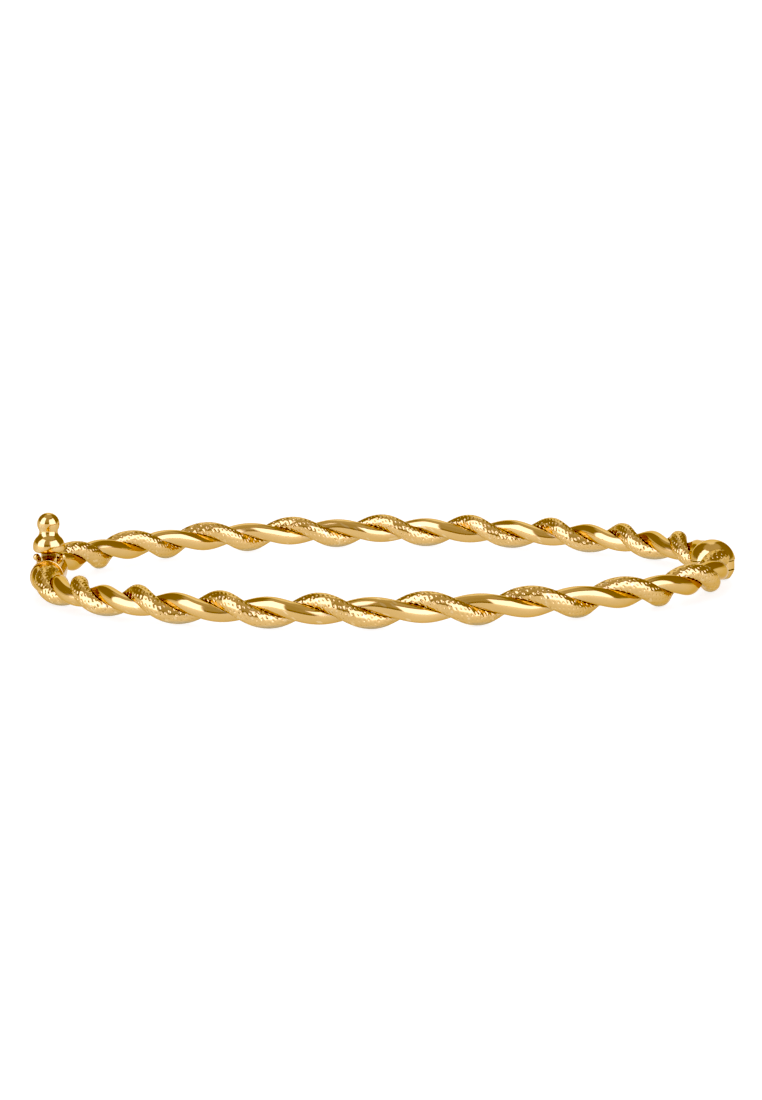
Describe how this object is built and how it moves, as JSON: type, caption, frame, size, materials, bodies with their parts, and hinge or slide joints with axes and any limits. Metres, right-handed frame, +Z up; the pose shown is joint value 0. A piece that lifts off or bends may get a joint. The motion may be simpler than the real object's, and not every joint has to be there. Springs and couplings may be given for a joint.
{
  "type": "hinged twisted bangle",
  "caption": "Hinged oval bangle, a polished and a dimpled tube twisted together, with a hinge at one end and a thumb-catch clasp at the other.",
  "frame": {"origin": "middle of the bangle, on the ground that it lies on", "axes": "+X to the hinge, -X to the clasp, -Y to the front half, +Z up to the thumb catch's knob"},
  "size_m": [0.0649, 0.0601, 0.0071],
  "materials": {
    "polished_gold": "polished gold",
    "textured_gold": "polished gold with small round dimples"
  },
  "bodies": {
    "front_half": {"front_polished_tube": "polished_gold", "front_textured_tube": "textured_gold", "clasp_box": "polished_gold", "hinge_knuckle": "polished_gold"},
    "back_half": {"back_polished_tube": "polished_gold", "back_textured_tube": "textured_gold", "clasp_tongue": "polished_gold", "hinge_bulb": "polished_gold", "hinge_pin": "polished_gold"},
    "thumb_catch": {"thumb_catch": "polished_gold"}
  },
  "joints": [
    {"name": "hinge", "type": "hinge", "parent": "front_half", "child": "back_half", "pos_m": [0.03035, 0, 0.0016], "axis": [0, 0, -1], "range_deg": [0, 65]},
    {"name": "catch_press", "type": "hinge", "parent": "back_half", "child": "thumb_catch", "pos_m": [-0.0309, -0.00235, 0.00162], "axis": [-1, 0, 0], "range_deg": [0, 3], "stiffness_Nm_per_rad": 0.02}
  ]
}
